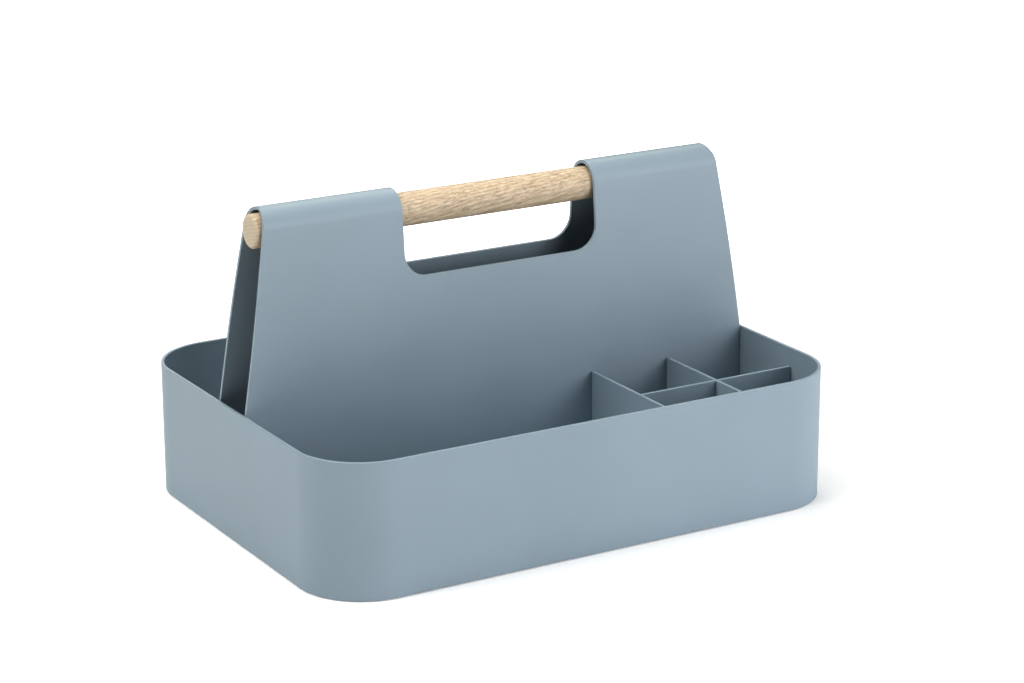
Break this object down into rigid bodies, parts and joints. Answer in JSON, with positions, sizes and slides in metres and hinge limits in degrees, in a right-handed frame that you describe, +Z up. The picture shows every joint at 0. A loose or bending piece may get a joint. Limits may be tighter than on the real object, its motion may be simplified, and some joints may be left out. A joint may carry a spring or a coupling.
{
  "type": "tool caddy",
  "caption": "Open bent-steel tool tray with rounded corners, a folded steel saddle round a wooden dowel handle and a lift-out divider insert of small cells.",
  "frame": {"origin": "middle of the footprint, on the surface that the foot pads stand on", "axes": "+X along the dowel handle and the long side, divider cells at the +X end; +Y from the cell side to the open rear bay; +Z up"},
  "size_m": [0.38, 0.278, 0.2167],
  "materials": {
    "blue_grey_coat": "satin fine-textured powder coat",
    "oiled_oak": "pale oiled oak",
    "zinc_plate": "bright zinc plate",
    "grey_nylon": "matte",
    "grey_rubber": "matte"
  },
  "bodies": {
    "caddy": {"tray_wall": "blue_grey_coat", "base_plate": "blue_grey_coat", "handle_saddle": "blue_grey_coat", "handle_dowel": "oiled_oak", "handle_studs": "zinc_plate", "handle_spacers": "grey_nylon", "handle_washers": "zinc_plate", "handle_nuts": "zinc_plate", "flange_screws": "zinc_plate", "clinch_nuts": "zinc_plate", "foot_pad_front_left": "grey_rubber", "foot_pad_front_right": "grey_rubber", "foot_pad_rear_left": "grey_rubber", "foot_pad_rear_right": "grey_rubber"},
    "divider_insert": {"divider_cross_left": "blue_grey_coat", "divider_cross_right": "blue_grey_coat", "divider_long": "blue_grey_coat"}
  },
  "joints": [
    {"name": "insert_lift", "type": "slide", "parent": "caddy", "child": "divider_insert", "axis": [0, 0, 1], "range_m": [0, 0.09]}
  ]
}
